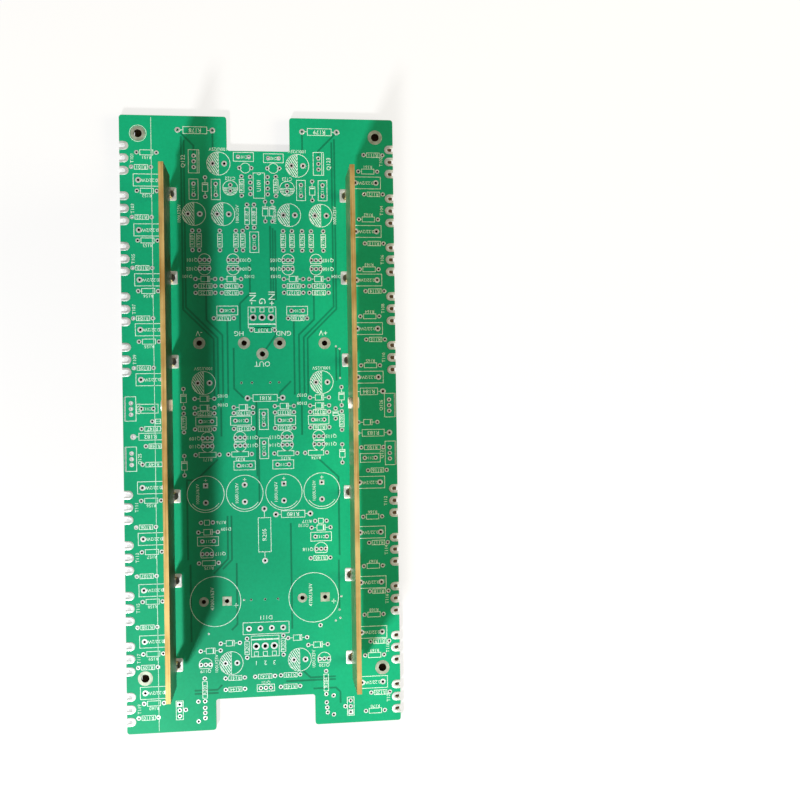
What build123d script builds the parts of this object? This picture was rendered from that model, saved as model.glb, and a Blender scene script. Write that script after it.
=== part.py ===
from build123d import *
import os

# Bare amplifier board with two upright bus bars, in millimetres.
# The origin lies under the middle of the board, level with the ends of the bar tails that it stands on.
# +X points to the right long edge, +Y to the narrow notch and +Z up out of the printed side.
os.makedirs("parts", exist_ok=True)

# Laminate panel: glass-epoxy sheet, routed to shape with a notch in each short end.
board_width = 120.0
board_length = 270.0
board_thickness = 1.6
corner_radius = 1.2
top_notch_width = 27.6
top_notch_depth = 15.0
bottom_notch_width = 43.5
bottom_notch_depth = 13.5

# Edge slots: each takes one lead of an output transistor that lies flat beyond the long edge.
bank_transistor_count = 5
transistor_lead_count = 3
transistor_pitch = 22.0
transistor_lead_pitch = 5.45
upper_bank_margin = 13.4
lower_bank_margin = 5.3
slot_width = 1.7
slot_depth = 2.5
slot_corner_share = 0.29
edge_land_width = 3.8
edge_land_depth = 3.9
edge_land_corner_share = 0.29

# Mounting holes: one near each corner, the lower pair set in from the end.
mount_hole_diameter = 3.5
mount_land_diameter = 6.4
mount_side_inset = 8.0
mount_top_inset = 8.0
mount_bottom_inset = 24.0

# Bus bars: flat brass strips on edge, with tabs that go through the board and are soldered below.
bar_side_inset = 21.1
bar_top_inset = 28.0
bar_bottom_inset = 22.0
bar_thickness = 2.0
bar_height = 25.0
bar_lift = 8.0
tab_width = 3.0
tail_length = 1.2
tab_end_clearance = 0.2
tab_side_clearance = 1.2
tab_shares = (0.029, 0.196, 0.363, 0.631, 0.799, 0.967)
lug_hole_diameter = 3.5
lug_height_share = 0.58
lug_place_share = 0.45

# Tinned copper lands, and the solder that holds each tail below the board.
land_thickness = 0.07
bar_land_width = 6.2
bar_land_length = 5.9
solder_height = 0.9
solder_rim = 0.5
solder_lip = 0.15

# Wire terminals: five bare lands for heavy wires, as shares of half the board's width and length.
terminal_hole_diameter = 2.4
terminal_land_diameter = 5.3
terminal_shares = ((-0.448, 0.261), (-0.123, 0.260), (0.010, 0.224), (0.137, 0.259), (0.468, 0.258))

# Plug connectors: three pins in a row for the input, and three for the supply.
connector_hole_diameter = 1.7
connector_pin_count = 3
connector_pitch = 3.96
connector_shares = ((0.011, 0.344), (0.0, -0.734))

# Emitter resistors: one beside each output transistor, with its leads across the board.
emitter_side_inset = 12.55
emitter_lead_pitch = 9.3
upper_emitter_margin = 28.4
upper_emitter_pitch = 21.8
lower_emitter_margin = 17.6
lower_emitter_pitch = 22.4

# Drill sizes and lead pitches of the other large parts, whose places are shares of half the board.
# Small round cuts and lands are drawn with few sides, because there are so many of them.
heavy_drill = 1.4
heavy_drill_sides = 8
lead_drill = 1.1
lead_drill_sides = 6
ring_sides = 12
two_watt_pitch = 15.2
two_watt_shares = ((-0.457, 0.954), (0.452, 0.955), (0.218, -0.304), (0.025, 0.079))
power_resistor_pitch = 22.9
power_resistor_shares = ((0.008, -0.369),)
rectifier_lead_count = 4
rectifier_pitch = 5.0
rectifier_shares = ((0.008, -0.676),)
filter_capacitor_pitch = 7.5
filter_capacitor_shares = ((-0.417, -0.232), (-0.133, -0.232), (0.153, -0.231), (0.433, -0.231))
supply_capacitor_pitch = 10.1
supply_capacitor_shares = ((-0.357, -0.582), (0.361, -0.581))
electrolytic_pitch = 5.1
electrolytic_shares = (
    (-0.292, 0.847), (0.285, 0.843), (-0.473, 0.681), (-0.263, 0.681), (0.220, 0.680),
    (0.453, 0.679), (-0.420, 0.130), (0.443, 0.129), (-0.248, -0.785), (0.252, -0.784),
)
driver_lead_count = 3
driver_pitch = 2.5
driver_edge_inset = 3.4
driver_height_shares = (0.050, -0.112)
regulator_shares = ((-0.475, 0.853), (0.442, 0.850), (-0.678, 0.050))

# Levels and places that follow from the sizes above.
half_width = board_width / 2
half_length = board_length / 2
board_bottom = tail_length
board_top = board_bottom + board_thickness
bar_plane = half_width - bar_side_inset
bar_top_end = half_length - bar_top_inset
bar_length = board_length - bar_top_inset - bar_bottom_inset
bar_middle = bar_top_end - bar_length / 2
bar_foot = board_top + bar_lift
tab_slot_width = bar_thickness + 2 * tab_side_clearance
tab_slot_length = tab_width + 2 * tab_end_clearance


def places(shares):
    """Points on the board that a table of shares of its half width and half length gives."""
    return [(across * half_width, along * half_length) for across, along in shares]


def lead_row(centre, count, pitch, upright):
    """Points of a straight row of leads about a centre, along Y when upright and along X when not."""
    steps = [pitch * (number - (count - 1) / 2) for number in range(count)]
    if upright:
        return [(centre[0], centre[1] + step) for step in steps]
    return [(centre[0] + step, centre[1]) for step in steps]


def lead_rows(centres, count, pitch, upright):
    """Points of all the leads of a kind of part that stands at several centres."""
    return [point for centre in centres for point in lead_row(centre, count, pitch, upright)]


def tab_places(side):
    """Middles of the six tabs of the bar on one side, -1 for the left and 1 for the right."""
    return [(side * bar_plane, bar_top_end - share * bar_length) for share in tab_shares]


# Middles of the outermost leads of each output transistor fix the two banks of edge slots.
bank_steps = bank_transistor_count - 1
lead_span = transistor_lead_pitch * (transistor_lead_count - 1)
bank_span = transistor_pitch * bank_steps
upper_bank_middle = half_length - upper_bank_margin - lead_span / 2 - bank_span / 2
lower_bank_middle = -half_length + lower_bank_margin + lead_span / 2 + bank_span / 2
transistor_middles = [
    middle
    for edge in (-half_width, half_width)
    for bank in (upper_bank_middle, lower_bank_middle)
    for middle in lead_row((edge, bank), bank_transistor_count, transistor_pitch, True)
]
slot_places = lead_rows(transistor_middles, transistor_lead_count, transistor_lead_pitch, True)

mount_places = [
    (side * (half_width - mount_side_inset), level)
    for side in (-1, 1)
    for level in (half_length - mount_top_inset, -half_length + mount_bottom_inset)
]

# Each bank of emitter resistors has its own pitch, and its middle row follows from its outermost one.
emitter_plane = half_width - emitter_side_inset
emitter_banks = (
    (half_length - upper_emitter_margin - upper_emitter_pitch * bank_steps / 2, upper_emitter_pitch),
    (-half_length + lower_emitter_margin + lower_emitter_pitch * bank_steps / 2, lower_emitter_pitch),
)
emitter_middles = [
    middle
    for side in (-1, 1)
    for bank, pitch in emitter_banks
    for middle in lead_row((side * emitter_plane, bank), bank_transistor_count, pitch, True)
]

driver_middles = [
    (side * (half_width - driver_edge_inset), share * half_length)
    for side in (-1, 1)
    for share in driver_height_shares
]

# Holes for the stout leads of resistors, the rectifier and the can capacitors.
heavy_places = (
    lead_rows(emitter_middles, 2, emitter_lead_pitch, False)
    + lead_rows(places(two_watt_shares), 2, two_watt_pitch, False)
    + lead_rows(places(power_resistor_shares), 2, power_resistor_pitch, True)
    + lead_rows(places(rectifier_shares), rectifier_lead_count, rectifier_pitch, False)
    + lead_rows(places(filter_capacitor_shares), 2, filter_capacitor_pitch, True)
    + lead_rows(places(supply_capacitor_shares), 2, supply_capacitor_pitch, False)
)

# Holes for the thinner leads of small electrolytics, drivers and regulators.
lead_places = (
    lead_rows(places(electrolytic_shares), 2, electrolytic_pitch, False)
    + lead_rows(driver_middles, driver_lead_count, driver_pitch, True)
    + lead_rows(places(regulator_shares), driver_lead_count, driver_pitch, True)
)

# One edge slot, centred on the edge it opens through, with its inner corners cut to follow a round end.
with BuildSketch() as edge_slot:
    Rectangle(2 * slot_depth, slot_width)
    chamfer(edge_slot.vertices(), slot_corner_share * slot_width)

# The panel, with every slot and hole cut in its outline before it gets its thickness.
with BuildPart() as board:
    with BuildSketch(Plane.XY.offset(board_bottom)) as panel:
        Rectangle(board_width, board_length)
        with Locations((0, half_length)):
            Rectangle(top_notch_width, 2 * top_notch_depth, mode=Mode.SUBTRACT)
        with Locations((0, -half_length)):
            Rectangle(bottom_notch_width, 2 * bottom_notch_depth, mode=Mode.SUBTRACT)
        fillet(panel.vertices(), corner_radius)
        with Locations(*slot_places):
            add(edge_slot.sketch, mode=Mode.SUBTRACT)
        with Locations(*tab_places(-1), *tab_places(1)):
            Rectangle(tab_slot_width, tab_slot_length, mode=Mode.SUBTRACT)
        with Locations(*mount_places):
            Circle(mount_hole_diameter / 2, mode=Mode.SUBTRACT)
        with Locations(*places(terminal_shares)):
            RegularPolygon(terminal_hole_diameter / 2, ring_sides, mode=Mode.SUBTRACT)
        with Locations(*lead_rows(places(connector_shares), connector_pin_count, connector_pitch, False)):
            RegularPolygon(connector_hole_diameter / 2, heavy_drill_sides, mode=Mode.SUBTRACT)
        with Locations(*heavy_places):
            RegularPolygon(heavy_drill / 2, heavy_drill_sides, mode=Mode.SUBTRACT)
        with Locations(*lead_places):
            RegularPolygon(lead_drill / 2, lead_drill_sides, mode=Mode.SUBTRACT)
    extrude(amount=board_thickness)
board.part.label = "board"
export_step(board.part, "parts/board.step")


def make_edge_lands(side, name):
    """The tinned lands along one long edge, each wrapped round the inner end of its slot."""
    edge_places = [place for place in slot_places if place[0] * side > 0]
    with BuildSketch() as whole_land:
        Rectangle(2 * edge_land_depth, edge_land_width)
        chamfer(whole_land.vertices(), edge_land_corner_share * edge_land_width)
    with BuildPart() as lands:
        with BuildSketch(Plane.XY.offset(board_top)):
            with Locations(*edge_places):
                add(whole_land.sketch)
                add(edge_slot.sketch, mode=Mode.SUBTRACT)
            Rectangle(board_width, board_length, mode=Mode.INTERSECT)
        extrude(amount=land_thickness)
    lands.part.label = name
    export_step(lands.part, "parts/" + name + ".step")


make_edge_lands(-1, "left_edge_lands")
make_edge_lands(1, "right_edge_lands")


def make_bus_bar(side, name):
    """One bar on edge: the strip, its six tabs and tails in one blank, and the hole for a cable lug."""
    tab_height = bar_lift + board_thickness + tail_length
    lug_along = bar_top_end - lug_place_share * bar_length
    lug_level = bar_foot + lug_height_share * bar_height
    with BuildPart() as bar:
        with BuildSketch(Plane.YZ.offset(side * bar_plane)):
            with Locations((bar_middle, bar_foot)):
                Rectangle(bar_length, bar_height, align=(Align.CENTER, Align.MIN))
            with Locations(*[(along, bar_foot) for across, along in tab_places(side)]):
                Rectangle(tab_width, tab_height, align=(Align.CENTER, Align.MAX))
            with Locations((lug_along, lug_level)):
                Circle(lug_hole_diameter / 2, mode=Mode.SUBTRACT)
        extrude(amount=bar_thickness / 2, both=True)
    bar.part.label = name
    export_step(bar.part, "parts/" + name + ".step")


make_bus_bar(-1, "left_bus_bar")
make_bus_bar(1, "right_bus_bar")


def make_bar_lands(side, name):
    """The six tinned lands on the printed side that one bar's tabs come down through."""
    with BuildPart() as lands:
        with BuildSketch(Plane.XY.offset(board_top)):
            with Locations(*tab_places(side)):
                Rectangle(bar_land_width, bar_land_length)
                Rectangle(tab_slot_width, tab_slot_length, mode=Mode.SUBTRACT)
        extrude(amount=land_thickness)
    lands.part.label = name
    export_step(lands.part, "parts/" + name + ".step")


make_bar_lands(-1, "left_bar_lands")
make_bar_lands(1, "right_bar_lands")


def make_bar_solder(side, name):
    """The six solder joints of one bar, each closing its slot from below and tapering to the tail."""
    with BuildPart() as solder:
        for across, along in tab_places(side):
            with BuildSketch(Plane((across, along, board_bottom))):
                Rectangle(tab_slot_width + 2 * solder_rim, tab_slot_length + 2 * solder_rim)
            with BuildSketch(Plane((across, along, board_bottom - solder_height))):
                Rectangle(bar_thickness + 2 * solder_lip, tab_width + 2 * solder_lip)
            loft()
        with BuildSketch(Plane.XY.offset(board_bottom)):
            with Locations(*tab_places(side)):
                Rectangle(bar_thickness, tab_width)
        extrude(amount=-tail_length, mode=Mode.SUBTRACT)
    solder.part.label = name
    export_step(solder.part, "parts/" + name + ".step")


make_bar_solder(-1, "left_bar_solder")
make_bar_solder(1, "right_bar_solder")


def make_ring_lands(centres, land_diameter, hole_diameter, name):
    """Round tinned lands on the printed side, each round a hole."""
    with BuildPart() as lands:
        with BuildSketch(Plane.XY.offset(board_top)):
            with Locations(*centres):
                RegularPolygon(land_diameter / 2, ring_sides, major_radius=False)
                RegularPolygon(hole_diameter / 2, ring_sides, major_radius=False, mode=Mode.SUBTRACT)
        extrude(amount=land_thickness)
    lands.part.label = name
    export_step(lands.part, "parts/" + name + ".step")


make_ring_lands(mount_places, mount_land_diameter, mount_hole_diameter, "mounting_lands")
make_ring_lands(
    places(terminal_shares), terminal_land_diameter, terminal_hole_diameter, "wire_terminal_lands"
)
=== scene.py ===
import math

import bpy
from mathutils import Matrix, Vector


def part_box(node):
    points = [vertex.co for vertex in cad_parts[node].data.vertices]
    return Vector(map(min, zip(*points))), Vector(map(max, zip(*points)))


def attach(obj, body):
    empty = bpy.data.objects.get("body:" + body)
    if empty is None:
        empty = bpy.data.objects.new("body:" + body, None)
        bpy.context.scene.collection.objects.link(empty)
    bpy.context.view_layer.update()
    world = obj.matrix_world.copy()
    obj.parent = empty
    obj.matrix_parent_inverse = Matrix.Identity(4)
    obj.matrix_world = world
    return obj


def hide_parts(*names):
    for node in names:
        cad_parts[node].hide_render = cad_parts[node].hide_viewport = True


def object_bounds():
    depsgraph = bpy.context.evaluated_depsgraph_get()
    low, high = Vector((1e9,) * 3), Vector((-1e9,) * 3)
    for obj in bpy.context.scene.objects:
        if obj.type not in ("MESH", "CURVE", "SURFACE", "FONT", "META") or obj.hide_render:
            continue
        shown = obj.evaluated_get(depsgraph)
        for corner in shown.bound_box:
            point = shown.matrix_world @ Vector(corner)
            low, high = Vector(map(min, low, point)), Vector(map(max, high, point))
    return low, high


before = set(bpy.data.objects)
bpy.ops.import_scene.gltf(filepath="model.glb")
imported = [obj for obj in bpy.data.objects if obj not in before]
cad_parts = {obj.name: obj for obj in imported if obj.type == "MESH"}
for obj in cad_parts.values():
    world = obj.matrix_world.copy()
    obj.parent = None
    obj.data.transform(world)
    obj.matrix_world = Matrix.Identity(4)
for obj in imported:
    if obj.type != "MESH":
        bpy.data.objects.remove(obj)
cad_low, cad_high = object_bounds()

# Laminate panel: one sheet of glass-epoxy with green solder mask, routed to its outline and drilled.
# Round-ended slots open through both long edges, and each lead of each part has a hole of its own.
# It is cut from one flat outline with all its holes in it, and then gets its thickness.
mm = 0.001
panel_low, panel_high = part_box("board")
panel_top = panel_high.z / mm
panel_bottom = panel_low.z / mm
half_width = panel_high.x / mm
half_length = panel_high.y / mm
corner_radius = 1.2
top_notch = (13.8, 15.0)
bottom_notch = (21.75, 13.5)
slot_width = 1.7
slot_depth = 2.5
slot_steps = 8
slot_lead_pitch = 5.45
slot_banks = (121.6, -30.8)
slot_row_pitch = 22.0
slot_rows = [start - slot_row_pitch * step for start in slot_banks for step in range(5)]
slot_middles = [row - slot_lead_pitch * lead for row in slot_rows for lead in range(3)]

# Two-lead parts that lie across the board, as left lead, right lead and height on the board.
left_plain_rows = (112.3, 90.4, 68.2, 46.2, 24.5, -45.0, -66.4, -88.7, -106.2, -128.2)
right_plain_rows = (119.1, 101.5, 79.4, 58.0, 36.3, -22.4, -54.9, -76.7, -99.2, -122.1)
left_open_rows = (118.7, 101.9, 80.2, 58.1, 36.0, -33.5, -55.9, -77.6, -100.4, -122.0)
right_open_rows = (111.7, 90.2, 67.8, 46.7, 24.7, -43.2, -65.3, -87.1, -105.3, -130.2)
across = {
    "plain": [(-55.0, -46.6, y) for y in left_plain_rows]
    + [(46.8, 55.2, y) for y in right_plain_rows]
    + [(x, x + 8.5, y) for y in (60.3, 57.3) for x in (-28.1, -16.8, 10.5, 21.7)]
    + [(x, x + 8.4, y) for y in (4.2, -2.7) for x in (-29.2, -12.3, 5.7, 21.3)]
    + [(-20.4, -11.7, 46.1), (12.1, 20.5, 45.9), (-4.1, 6.1, 40.8), (20.6, 29.3, -60.9)]
    + [(-17.5, -9.1, -112.6), (-4.6, 4.1, -112.5), (6.7, 15.2, -112.4)]
    + [(-17.5, -9.1, -117.6), (6.6, 15.1, -117.5), (-47.5, -42.6, 1.1), (-52.1, -42.7, -2.1)]
    + [(-50.4, -42.4, -9.7), (-51.9, -42.2, -17.7), (43.9, 53.9, -12.1)],
    "open": [(-52.7, -44.2, y) for y in left_open_rows]
    + [(44.3, 52.8, y) for y in right_open_rows]
    + [(-29.1, -18.8, -14.0), (-14.9, -4.7, -14.0), (5.2, 15.3, -14.0), (18.8, 28.5, -14.0)]
    + [(-28.3, -19.8, -61.6), (-27.2, -22.1, -43.8), (22.8, 27.9, -44.4)],
    "diode": [(x, x + 8.5, 63.4) for x in (-28.1, -16.8, 10.5, 21.7)]
    + [(-29.2, -20.7, 10.7), (-29.2, -20.7, 6.7), (-12.3, -3.9, 6.7), (5.7, 14.1, 7.0)]
    + [(21.3, 29.7, 10.6), (21.3, 29.7, 7.0), (-28.4, -20.0, -48.0), (21.2, 29.6, -47.4)]
    + [(42.8, 51.3, -0.8)]
    + [(-19.4, -11.1, -97.2), (-28.1, -19.5, -100.2), (10.1, 18.5, -96.0), (19.0, 27.6, -99.5)],
    "film": [(-8.9, -4.2, 117.4), (4.3, 8.9, 117.0), (-17.0, -12.0, 49.5), (13.6, 18.7, 49.3)]
    + [(-26.8, -21.8, 0.7), (-11.7, -6.7, 0.8), (7.7, 12.7, 0.7), (22.5, 27.5, 0.7)]
    + [(-10.5, -5.3, -19.0), (6.5, 11.6, -18.9), (-26.8, -21.8, -52.0), (22.8, 27.9, -51.4)]
    + [(-52.1, -47.0, 6.7), (45.4, 50.3, -16.8)],
    "long": [(-35.0, -19.9, 128.8), (19.4, 34.8, 129.0), (5.5, 20.7, -41.0), (-6.2, 9.2, 10.7)]
    + [(-55.7, -41.0, -5.5), (42.0, 56.7, -5.6), (41.4, 54.0, 13.0)],
    "emitter": [
        (left, left + 9.3, start + pitch * step)
        for left in (-52.1, 42.8)
        for start, pitch in ((19.4, 21.8), (-117.4, 22.4))
        for step in range(5)
    ],
}

# Two-lead parts that lie along the board, as lower lead, upper lead and place across the board.
along = {
    "plain": [(100.3, 108.8, -7.5), (100.3, 108.8, 7.5), (86.2, 96.3, -5.3), (86.2, 96.3, -2.2)]
    + [(76.1, 84.7, x) for x in (-29.2, -26.3, -17.3, -10.3, -7.3, 10.4, 14.3, 18.8, 22.8, 28.2)]
    + [(-3.9, 4.3, -34.0), (-4.0, 4.3, 35.35), (-103.9, -95.5, -7.95), (-103.3, -94.8, 8.0)]
    + [(-122.2, -112.2, -26.5), (-121.7, -111.5, 26.7)],
    "diode": [(99.6, 108.1, -23.4), (98.5, 106.9, 23.6), (89.0, 97.7, 2.7), (89.0, 97.7, 5.8)]
    + [(6.8, 15.1, -34.0), (-22.8, -14.3, -34.0), (7.0, 15.1, 35.35)]
    + [(-18.6, -10.5, 35.35), (1.1, 5.6, 32.6)],
    "film": [(100.4, 105.3, x) for x in (-28.4, -18.8, 18.6, 28.2)]
    + [(77.2, 82.2, -2.3), (-1.2, 3.7, 0.75), (-14.1, -9.1, 0.75)],
    "power": [(-61.3, -38.4, 0.45)],
}

# Round capacitors by their centres, and parts with a row of leads by the middle of the row.
# The word says where the value of an electrolytic capacitor is printed.
electrolytics = [
    (-17.5, 114.3, "above"),
    (17.1, 113.8, "above"),
    (-28.4, 92.0, "left"),
    (-15.8, 92.0, "right"),
    (13.2, 91.8, "left"),
    (27.2, 91.7, "right"),
    (-25.2, 17.6, "above"),
    (26.6, 17.4, "above"),
    (-14.9, -106.0, "left"),
    (15.1, -105.8, "right"),
]
small_electrolytics = [(-12.45, 103.6), (12.45, 103.6)]
bead_capacitors = [(-5.8, 112.5), (6.5, 112.5)]
filter_capacitors = [(-25.0, -31.3), (-8.0, -31.3), (9.2, -31.2), (26.0, -31.0)]
supply_capacitors = [(-21.4, -78.6), (21.7, -78.4)]
paired_transistors = [(x, y) for x in (-24.1, -11.7, 12.4, 24.8) for y in (71.8, 67.9)]
paired_transistors += [(x, y) for x in (-23.9, -9.7, 10.9, 25.0) for y in (-6.7, -10.2)]
single_transistors = [(-24.8, -57.6), (25.3, -56.9), (-26.0, -106.2), (26.0, -105.9)]
triple_transistor = (0.0, -117.6)
regulators = [(-28.2, 115.1), (26.5, 114.8), (-40.7, 6.8)]
drivers = [(-56.5, 6.7), (-56.5, -15.2), (56.7, 6.7), (56.7, -14.8)]
corner_trios = [(-37.5, -125.6), (37.5, -127.7)]
connectors = [(0.65, 46.4), (0.0, -99.1)]
rectifier = (0.5, -91.2)
chip = (0.1, 104.8)
terminals = [(-26.9, 35.2), (-7.4, 35.1), (0.6, 30.2), (8.2, 35.0), (28.1, 34.8)]
mounting_holes = [(-52.0, 127.0), (52.0, 127.0), (-52.0, -111.0), (52.0, -111.0)]
bar_ends = (-113.0, 107.0)
tab_shares = (0.029, 0.196, 0.363, 0.631, 0.799, 0.967)
tab_rows = [bar_ends[1] - (bar_ends[1] - bar_ends[0]) * share for share in tab_shares]
tab_plane = 38.9
tab_slot = (4.4, 3.4)
loose_lands = [(-34.9, -125.5), (-29.4, -122.2), (-26.5, -125.1), (-26.5, -127.3), (-26.5, -129.6)]
loose_lands += [(-29.4, -130.9), (35.1, -127.6), (29.9, -122.5), (26.8, -125.4), (27.0, -127.7)]
loose_lands += [(27.2, -129.9), (29.9, -131.0), (24.5, -90.9)]
vias = [(33.2, 33.3), (34.8, 32.2), (34.8, 19.2), (-9.0, -78.4), (34.0, -78.4), (33.1, -84.3)]
vias += [(33.4, -88.0), (31.4, -89.1), (-24.5, -92.7)]
pin_holes = [(x, 17.5) for x in (-8.8, -4.2, 3.8, 7.7)] + [(x, -78.4) for x in (-5.9, 0.2, 5.9)]

# Distance between the leads of each part that stands on a row of them.
electrolytic_pitch = 5.1
bead_pitch = 5.2
small_electrolytic_pitch = 2.6
filter_pitch = 7.5
supply_pitch = 10.1
transistor_pitch = 2.0
triple_pitch = 2.2
regulator_pitch = 2.5
trio_pitch = 2.55
connector_pitch = 3.95
rectifier_pitch = 5.0
chip_pitch = 2.54
chip_half_width = 3.8


def lead_row(middle, count, pitch, upright):
    """Places of a straight row of leads about its middle, along the board when upright."""
    steps = [pitch * (number - (count - 1) / 2) for number in range(count)]
    return [(middle[0], middle[1] + step) if upright else (middle[0] + step, middle[1]) for step in steps]


# Every plated hole, by the kind of land round it.
land_kinds = ("signal", "power", "square", "connector", "can", "square_can")
land_places = {kind: [] for kind in land_kinds}
land_places["signal"] += loose_lands
for kind, rows in across.items():
    land = "power" if kind in ("emitter", "long") else "signal"
    land_places[land] += [(x, y) for left, right, y in rows for x in (left, right)]
for kind, rows in along.items():
    land = "power" if kind == "power" else "signal"
    land_places[land] += [(x, y) for low, high, x in rows for y in (low, high)]
for centre in electrolytics:
    land_places["power"] += lead_row(centre, 2, electrolytic_pitch, False)
for centre in bead_capacitors:
    land_places["signal"] += lead_row(centre, 2, bead_pitch, False)
for centre in small_electrolytics:
    land_places["signal"] += lead_row(centre, 2, small_electrolytic_pitch, True)
for number, centre in enumerate(filter_capacitors):
    minus, plus = lead_row(centre, 2, filter_pitch, True)
    land_places["power"].append(minus)
    land_places["power" if number == 1 else "square"].append(plus)
for centre in supply_capacitors:
    minus, plus = lead_row(centre, 2, supply_pitch, False)
    land_places["can"].append(minus)
    land_places["square_can"].append(plus)
for centre in paired_transistors + single_transistors:
    land_places["signal"] += lead_row(centre, 3, transistor_pitch, False)
land_places["signal"] += lead_row(triple_transistor, 3, triple_pitch, False)
for centre in regulators + drivers:
    land_places["signal"] += lead_row(centre, 3, regulator_pitch, True)
for number, centre in enumerate(corner_trios):
    trio = lead_row(centre, 3, trio_pitch, True)
    land_places["square"].append(trio.pop(0 if number else 2))
    land_places["signal"] += trio
for centre in connectors:
    land_places["connector"] += lead_row(centre, 3, connector_pitch, False)
land_places["power"] += lead_row(rectifier, 4, rectifier_pitch, False)
for side in (-chip_half_width, chip_half_width):
    land_places["signal"] += lead_row((chip[0] + side, chip[1]), 4, chip_pitch, True)

# Outer size, drill and number of sides of the hole, for each kind of land.
land_sizes = {
    "signal": (1.9, 0.95, 10),
    "power": (2.5, 1.15, 16),
    "square": (2.2, 1.0, 16),
    "connector": (3.1, 1.7, 20),
    "can": (4.2, 1.9, 24),
    "square_can": (4.0, 1.9, 24),
    "via": (0.9, 0.4, 8),
    "pin": (1.0, 0.8, 10),
    "terminal": (5.3, 2.4, 32),
    "mount": (6.4, 3.5, 40),
}
land_places["via"] = vias
land_places["pin"] = pin_holes
land_places["terminal"] = terminals
land_places["mount"] = mounting_holes
plating = 0.03


def circle_loop(x, y, radius, sides):
    """Points of a circle, anticlockwise."""
    turns = [math.tau * number / sides for number in range(sides)]
    return [(x + radius * math.cos(turn), y + radius * math.sin(turn)) for turn in turns]


def box_loop(left, low, right, high):
    """Points of an upright rectangle, anticlockwise."""
    return [(left, low), (right, low), (right, high), (left, high)]


def corner_loop(x, y, before, after, radius, steps=6):
    """Points of one rounded right-angled corner, between the ways in and out of it."""
    turns = [math.pi / 2 * number / steps for number in range(steps + 1)]
    middle_x = x - radius * before[0] + radius * after[0]
    middle_y = y - radius * before[1] + radius * after[1]
    return [
        (
            middle_x - radius * (after[0] * math.cos(turn) - before[0] * math.sin(turn)),
            middle_y - radius * (after[1] * math.cos(turn) - before[1] * math.sin(turn)),
        )
        for turn in turns
    ]


def slot_loop(edge, middle, inward, width, depth):
    """Points of a round-ended slot, from its lower lip at the edge to its upper one."""
    radius = width / 2
    centre = edge + inward * (depth - radius)
    turns = [math.pi * (number / slot_steps - 0.5) for number in range(slot_steps + 1)]
    end = [(centre + inward * radius * math.cos(turn), middle + radius * math.sin(turn)) for turn in turns]
    return [(edge, middle - radius), *end, (edge, middle + radius)]


def long_loop(x, y, length, width, steps=8):
    """Points of a slot across the board with half-round ends."""
    radius = width / 2
    points = []
    for side, start in ((1, 0.0), (-1, math.pi)):
        centre = x + side * (length / 2 - radius)
        for number in range(steps + 1):
            turn = math.pi * (number / steps - 0.5) + start
            points.append((centre + radius * math.cos(turn), y + radius * math.sin(turn)))
    return points


def select_only(*pieces):
    """Makes the given objects the only selected ones, with the first of them active."""
    bpy.ops.object.select_all(action="DESELECT")
    for piece in pieces:
        piece.select_set(True)
    bpy.context.view_layer.objects.active = pieces[0]


def weld(piece):
    """Merges the doubled points of a mesh and turns its faces outwards."""
    select_only(piece)
    bpy.ops.object.mode_set(mode="EDIT")
    bpy.ops.mesh.select_all(action="SELECT")
    bpy.ops.mesh.remove_doubles(threshold=0.0005 * mm)
    bpy.ops.mesh.normals_make_consistent(inside=False)
    bpy.ops.object.mode_set(mode="OBJECT")


def flat_curve(name, loops, thickness):
    """A filled flat curve through closed loops in millimetres on the board, with its thickness."""
    curve = bpy.data.curves.new(name, "CURVE")
    curve.dimensions = "2D"
    curve.fill_mode = "BOTH"
    curve.extrude = thickness / 2 * mm
    for loop in loops:
        spline = curve.splines.new("POLY")
        spline.points.add(len(loop) - 1)
        for point, (x, y) in zip(spline.points, loop):
            point.co = (x * mm, y * mm, 0.0, 1.0)
        spline.use_cyclic_u = True
    piece = bpy.data.objects.new(name, curve)
    bpy.context.collection.objects.link(piece)
    return piece


def raise_to(piece, height):
    """Puts a mesh at its height in millimetres and welds it."""
    piece.location.z = height * mm
    bpy.ops.object.transform_apply(location=True, rotation=False, scale=False)
    weld(piece)


def cut_plate(name, loops, low, high):
    """A plate between two heights, solid inside its outlines and open inside the loops within them."""
    piece = flat_curve(name, loops, high - low)
    select_only(piece)
    bpy.ops.object.convert(target="MESH")
    raise_to(piece, (low + high) / 2)
    return piece


east, north, west, south = (1, 0), (0, 1), (-1, 0), (0, -1)
rising = sorted(slot_middles)
right_slots = [point for y in rising for point in slot_loop(half_width, y, -1, slot_width, slot_depth)]
left_slots = [point for y in rising for point in slot_loop(-half_width, y, 1, slot_width, slot_depth)]
low_step, high_step = -half_length + bottom_notch[1], half_length - top_notch[1]
outline = []
for x, y, before, after in (
    (-half_width, -half_length, south, east),
    (-bottom_notch[0], -half_length, east, north),
    (-bottom_notch[0], low_step, north, east),
    (bottom_notch[0], low_step, east, south),
    (bottom_notch[0], -half_length, south, east),
    (half_width, -half_length, east, north),
):
    outline += corner_loop(x, y, before, after, corner_radius)
outline += right_slots
for x, y, before, after in (
    (half_width, half_length, north, west),
    (top_notch[0], half_length, west, south),
    (top_notch[0], high_step, south, west),
    (-top_notch[0], high_step, west, north),
    (-top_notch[0], half_length, north, west),
    (-half_width, half_length, west, south),
):
    outline += corner_loop(x, y, before, after, corner_radius)
outline += left_slots[::-1]
tab_holes = [(side * tab_plane, row) for side in (-1, 1) for row in tab_rows]
drilled = [long_loop(x, y, *tab_slot) for x, y in tab_holes]
for kind, places in land_places.items():
    _, drill, sides = land_sizes[kind]
    drilled += [circle_loop(x, y, drill / 2 + plating, sides) for x, y in places]
panel = cut_plate("laminate_panel", [outline] + drilled, panel_bottom, panel_top)


def hex_colour(code):
    """Linear colour of an sRGB hex value."""
    channels = [int(code[start : start + 2], 16) / 255 for start in (1, 3, 5)]
    return (*[c / 12.92 if c <= 0.04045 else ((c + 0.055) / 1.055) ** 2.4 for c in channels], 1.0)


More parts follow.
